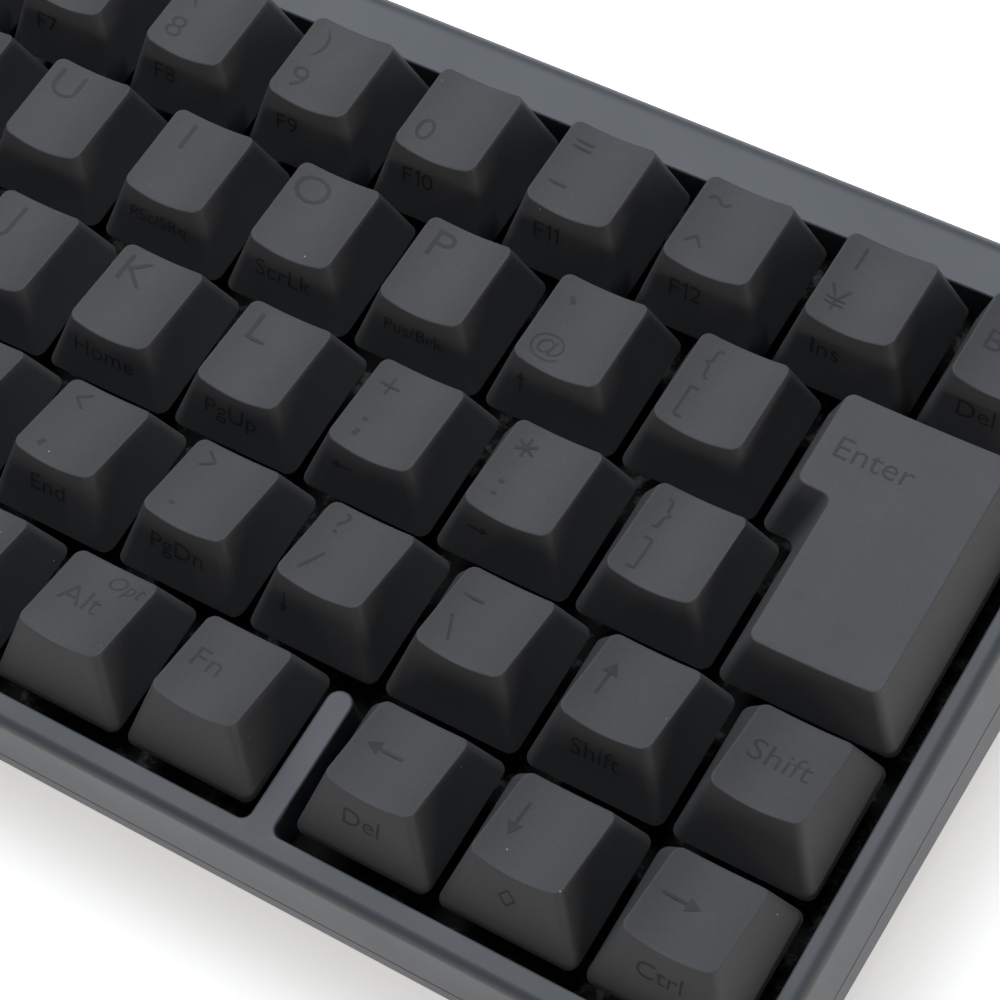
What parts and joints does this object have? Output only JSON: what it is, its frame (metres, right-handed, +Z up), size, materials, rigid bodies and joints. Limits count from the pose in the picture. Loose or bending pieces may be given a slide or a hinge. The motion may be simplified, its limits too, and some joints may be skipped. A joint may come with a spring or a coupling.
{
  "type": "mechanical keyboard",
  "caption": "Compact wedge-shaped desktop keyboard with sculpted keycaps that press down, a two-shell case, fold-out tilt feet, rubber pads and a rear USB inlet.",
  "frame": {"origin": "centre of the bounding box on the desk surface, under the middle of the keyboard", "axes": "+X to the typist's right, +Y away from the typist, +Z up"},
  "size_m": [0.294, 0.1114, 0.0351],
  "materials": {
    "case": "fine satin texture, charcoal with a blue cast",
    "keycap": "dry matte, slightly grained",
    "plate": "matte black",
    "board": "solder mask",
    "rubber": "matte",
    "steel": "plain"
  },
  "bodies": {
    "case": {"upper_case": "case", "lower_case": "case", "switch_plate": "plate", "circuit_board": "board", "usb_port": "steel", "rubber_pad_front_left": "rubber", "rubber_pad_front_right": "rubber", "rubber_pad_rear_left": "rubber", "rubber_pad_rear_right": "rubber", "case_screw_left": "steel", "case_screw_right": "steel", "case_screw_rear": "steel"},
    "key_esc": {"key_esc": "keycap"},
    "key_7": {"key_7": "keycap"},
    "key_8": {"key_8": "keycap"},
    "key_9": {"key_9": "keycap"},
    "key_0": {"key_0": "keycap"},
    "key_minus": {"key_minus": "keycap"},
    "key_caret": {"key_caret": "keycap"},
    "key_yen": {"key_yen": "keycap"},
    "key_backspace": {"key_backspace": "keycap"},
    "key_tab": {"key_tab": "keycap"},
    "key_y": {"key_y": "keycap"},
    "key_u": {"key_u": "keycap"},
    "key_i": {"key_i": "keycap"},
    "key_o": {"key_o": "keycap"},
    "key_p": {"key_p": "keycap"},
    "key_at": {"key_at": "keycap"},
    "key_bracket_left": {"key_bracket_left": "keycap"},
    "key_enter": {"key_enter": "keycap"},
    "key_control": {"key_control": "keycap"},
    "key_j": {"key_j": "keycap"},
    "key_k": {"key_k": "keycap"},
    "key_l": {"key_l": "keycap"},
    "key_semicolon": {"key_semicolon": "keycap"},
    "key_colon": {"key_colon": "keycap"},
    "key_bracket_right": {"key_bracket_right": "keycap"},
    "key_shift_left": {"key_shift_left": "keycap"},
    "key_m": {"key_m": "keycap"},
    "key_comma": {"key_comma": "keycap"},
    "key_period": {"key_period": "keycap"},
    "key_slash": {"key_slash": "keycap"},
    "key_underscore": {"key_underscore": "keycap"},
    "key_up": {"key_up": "keycap"},
    "key_shift_right": {"key_shift_right": "keycap"},
    "key_space": {"key_space": "keycap"},
    "key_convert": {"key_convert": "keycap"},
    "key_kana": {"key_kana": "keycap"},
    "key_alt": {"key_alt": "keycap"},
    "key_fn": {"key_fn": "keycap"},
    "key_left": {"key_left": "keycap"},
    "key_down": {"key_down": "keycap"},
    "key_right": {"key_right": "keycap"},
    "keys_1_to_6": {"keys_1_to_6": "keycap"},
    "keys_q_to_t": {"keys_q_to_t": "keycap"},
    "keys_a_to_h": {"keys_a_to_h": "keycap"},
    "keys_z_to_n": {"keys_z_to_n": "keycap"},
    "keys_front_left": {"keys_front_left": "keycap"},
    "tilt_foot_left": {"tilt_foot_left": "case"},
    "tilt_foot_right": {"tilt_foot_right": "case"}
  },
  "joints": [
    {"name": "press_key_esc", "type": "slide", "parent": "case", "child": "key_esc", "axis": [0, -0.061, 0.9981], "range_m": [-0.004, 0], "stiffness_N_per_m": 100, "springref_m": 0.002},
    {"name": "press_key_7", "type": "slide", "parent": "case", "child": "key_7", "axis": [0, -0.061, 0.9981], "range_m": [-0.004, 0], "stiffness_N_per_m": 100, "springref_m": 0.002},
    {"name": "press_key_8", "type": "slide", "parent": "case", "child": "key_8", "axis": [0, -0.061, 0.9981], "range_m": [-0.004, 0], "stiffness_N_per_m": 100, "springref_m": 0.002},
    {"name": "press_key_9", "type": "slide", "parent": "case", "child": "key_9", "axis": [0, -0.061, 0.9981], "range_m": [-0.004, 0], "stiffness_N_per_m": 100, "springref_m": 0.002},
    {"name": "press_key_0", "type": "slide", "parent": "case", "child": "key_0", "axis": [0, -0.061, 0.9981], "range_m": [-0.004, 0], "stiffness_N_per_m": 100, "springref_m": 0.002},
    {"name": "press_key_minus", "type": "slide", "parent": "case", "child": "key_minus", "axis": [0, -0.061, 0.9981], "range_m": [-0.004, 0], "stiffness_N_per_m": 100, "springref_m": 0.002},
    {"name": "press_key_caret", "type": "slide", "parent": "case", "child": "key_caret", "axis": [0, -0.061, 0.9981], "range_m": [-0.004, 0], "stiffness_N_per_m": 100, "springref_m": 0.002},
    {"name": "press_key_yen", "type": "slide", "parent": "case", "child": "key_yen", "axis": [0, -0.061, 0.9981], "range_m": [-0.004, 0], "stiffness_N_per_m": 100, "springref_m": 0.002},
    {"name": "press_key_backspace", "type": "slide", "parent": "case", "child": "key_backspace", "axis": [0, -0.061, 0.9981], "range_m": [-0.004, 0], "stiffness_N_per_m": 100, "springref_m": 0.002},
    {"name": "press_key_tab", "type": "slide", "parent": "case", "child": "key_tab", "axis": [0, -0.061, 0.9981], "range_m": [-0.004, 0], "stiffness_N_per_m": 120, "springref_m": 0.002},
    {"name": "press_key_y", "type": "slide", "parent": "case", "child": "key_y", "axis": [0, -0.061, 0.9981], "range_m": [-0.004, 0], "stiffness_N_per_m": 100, "springref_m": 0.002},
    {"name": "press_key_u", "type": "slide", "parent": "case", "child": "key_u", "axis": [0, -0.061, 0.9981], "range_m": [-0.004, 0], "stiffness_N_per_m": 100, "springref_m": 0.002},
    {"name": "press_key_i", "type": "slide", "parent": "case", "child": "key_i", "axis": [0, -0.061, 0.9981], "range_m": [-0.004, 0], "stiffness_N_per_m": 100, "springref_m": 0.002},
    {"name": "press_key_o", "type": "slide", "parent": "case", "child": "key_o", "axis": [0, -0.061, 0.9981], "range_m": [-0.004, 0], "stiffness_N_per_m": 100, "springref_m": 0.002},
    {"name": "press_key_p", "type": "slide", "parent": "case", "child": "key_p", "axis": [0, -0.061, 0.9981], "range_m": [-0.004, 0], "stiffness_N_per_m": 100, "springref_m": 0.002},
    {"name": "press_key_at", "type": "slide", "parent": "case", "child": "key_at", "axis": [0, -0.061, 0.9981], "range_m": [-0.004, 0], "stiffness_N_per_m": 100, "springref_m": 0.002},
    {"name": "press_key_bracket_left", "type": "slide", "parent": "case", "child": "key_bracket_left", "axis": [0, -0.061, 0.9981], "range_m": [-0.004, 0], "stiffness_N_per_m": 100, "springref_m": 0.002},
    {"name": "press_key_enter", "type": "slide", "parent": "case", "child": "key_enter", "axis": [0, -0.061, 0.9981], "range_m": [-0.004, 0], "stiffness_N_per_m": 120, "springref_m": 0.002},
    {"name": "press_key_control", "type": "slide", "parent": "case", "child": "key_control", "axis": [0, -0.061, 0.9981], "range_m": [-0.004, 0], "stiffness_N_per_m": 120, "springref_m": 0.002},
    {"name": "press_key_j", "type": "slide", "parent": "case", "child": "key_j", "axis": [0, -0.061, 0.9981], "range_m": [-0.004, 0], "stiffness_N_per_m": 100, "springref_m": 0.002},
    {"name": "press_key_k", "type": "slide", "parent": "case", "child": "key_k", "axis": [0, -0.061, 0.9981], "range_m": [-0.004, 0], "stiffness_N_per_m": 100, "springref_m": 0.002},
    {"name": "press_key_l", "type": "slide", "parent": "case", "child": "key_l", "axis": [0, -0.061, 0.9981], "range_m": [-0.004, 0], "stiffness_N_per_m": 100, "springref_m": 0.002},
    {"name": "press_key_semicolon", "type": "slide", "parent": "case", "child": "key_semicolon", "axis": [0, -0.061, 0.9981], "range_m": [-0.004, 0], "stiffness_N_per_m": 100, "springref_m": 0.002},
    {"name": "press_key_colon", "type": "slide", "parent": "case", "child": "key_colon", "axis": [0, -0.061, 0.9981], "range_m": [-0.004, 0], "stiffness_N_per_m": 100, "springref_m": 0.002},
    {"name": "press_key_bracket_right", "type": "slide", "parent": "case", "child": "key_bracket_right", "axis": [0, -0.061, 0.9981], "range_m": [-0.004, 0], "stiffness_N_per_m": 100, "springref_m": 0.002},
    {"name": "press_key_shift_left", "type": "slide", "parent": "case", "child": "key_shift_left", "axis": [0, -0.061, 0.9981], "range_m": [-0.004, 0], "stiffness_N_per_m": 120, "springref_m": 0.002},
    {"name": "press_key_m", "type": "slide", "parent": "case", "child": "key_m", "axis": [0, -0.061, 0.9981], "range_m": [-0.004, 0], "stiffness_N_per_m": 100, "springref_m": 0.002},
    {"name": "press_key_comma", "type": "slide", "parent": "case", "child": "key_comma", "axis": [0, -0.061, 0.9981], "range_m": [-0.004, 0], "stiffness_N_per_m": 100, "springref_m": 0.002},
    {"name": "press_key_period", "type": "slide", "parent": "case", "child": "key_period", "axis": [0, -0.061, 0.9981], "range_m": [-0.004, 0], "stiffness_N_per_m": 100, "springref_m": 0.002},
    {"name": "press_key_slash", "type": "slide", "parent": "case", "child": "key_slash", "axis": [0, -0.061, 0.9981], "range_m": [-0.004, 0], "stiffness_N_per_m": 100, "springref_m": 0.002},
    {"name": "press_key_underscore", "type": "slide", "parent": "case", "child": "key_underscore", "axis": [0, -0.061, 0.9981], "range_m": [-0.004, 0], "stiffness_N_per_m": 100, "springref_m": 0.002},
    {"name": "press_key_up", "type": "slide", "parent": "case", "child": "key_up", "axis": [0, -0.061, 0.9981], "range_m": [-0.004, 0], "stiffness_N_per_m": 100, "springref_m": 0.002},
    {"name": "press_key_shift_right", "type": "slide", "parent": "case", "child": "key_shift_right", "axis": [0, -0.061, 0.9981], "range_m": [-0.004, 0], "stiffness_N_per_m": 100, "springref_m": 0.002},
    {"name": "press_key_space", "type": "slide", "parent": "case", "child": "key_space", "axis": [0, -0.061, 0.9981], "range_m": [-0.004, 0], "stiffness_N_per_m": 120, "springref_m": 0.002},
    {"name": "press_key_convert", "type": "slide", "parent": "case", "child": "key_convert", "axis": [0, -0.061, 0.9981], "range_m": [-0.004, 0], "stiffness_N_per_m": 100, "springref_m": 0.002},
    {"name": "press_key_kana", "type": "slide", "parent": "case", "child": "key_kana", "axis": [0, -0.061, 0.9981], "range_m": [-0.004, 0], "stiffness_N_per_m": 100, "springref_m": 0.002},
    {"name": "press_key_alt", "type": "slide", "parent": "case", "child": "key_alt", "axis": [0, -0.061, 0.9981], "range_m": [-0.004, 0], "stiffness_N_per_m": 100, "springref_m": 0.002},
    {"name": "press_key_fn", "type": "slide", "parent": "case", "child": "key_fn", "axis": [0, -0.061, 0.9981], "range_m": [-0.004, 0], "stiffness_N_per_m": 100, "springref_m": 0.002},
    {"name": "press_key_left", "type": "slide", "parent": "case", "child": "key_left", "axis": [0, -0.061, 0.9981], "range_m": [-0.004, 0], "stiffness_N_per_m": 100, "springref_m": 0.002},
    {"name": "press_key_down", "type": "slide", "parent": "case", "child": "key_down", "axis": [0, -0.061, 0.9981], "range_m": [-0.004, 0], "stiffness_N_per_m": 100, "springref_m": 0.002},
    {"name": "press_key_right", "type": "slide", "parent": "case", "child": "key_right", "axis": [0, -0.061, 0.9981], "range_m": [-0.004, 0], "stiffness_N_per_m": 100, "springref_m": 0.002},
    {"name": "press_keys_1_to_6", "type": "slide", "parent": "case", "child": "keys_1_to_6", "axis": [0, -0.061, 0.9981], "range_m": [-0.004, 0], "stiffness_N_per_m": 600, "springref_m": 0.002},
    {"name": "press_keys_q_to_t", "type": "slide", "parent": "case", "child": "keys_q_to_t", "axis": [0, -0.061, 0.9981], "range_m": [-0.004, 0], "stiffness_N_per_m": 500, "springref_m": 0.002},
    {"name": "press_keys_a_to_h", "type": "slide", "parent": "case", "child": "keys_a_to_h", "axis": [0, -0.061, 0.9981], "range_m": [-0.004, 0], "stiffness_N_per_m": 600, "springref_m": 0.002},
    {"name": "press_keys_z_to_n", "type": "slide", "parent": "case", "child": "keys_z_to_n", "axis": [0, -0.061, 0.9981], "range_m": [-0.004, 0], "stiffness_N_per_m": 600, "springref_m": 0.002},
    {"name": "press_keys_front_left", "type": "slide", "parent": "case", "child": "keys_front_left", "axis": [0, -0.061, 0.9981], "range_m": [-0.004, 0], "stiffness_N_per_m": 500, "springref_m": 0.002},
    {"name": "tilt_foot_left_hinge", "type": "hinge", "parent": "case", "child": "tilt_foot_left", "pos_m": [-0.112, 0.042, 0.0043], "axis": [1, 0, 0], "range_deg": [0, 95]},
    {"name": "tilt_foot_right_hinge", "type": "hinge", "parent": "case", "child": "tilt_foot_right", "pos_m": [0.112, 0.042, 0.0043], "axis": [1, 0, 0], "range_deg": [0, 95]}
  ]
}
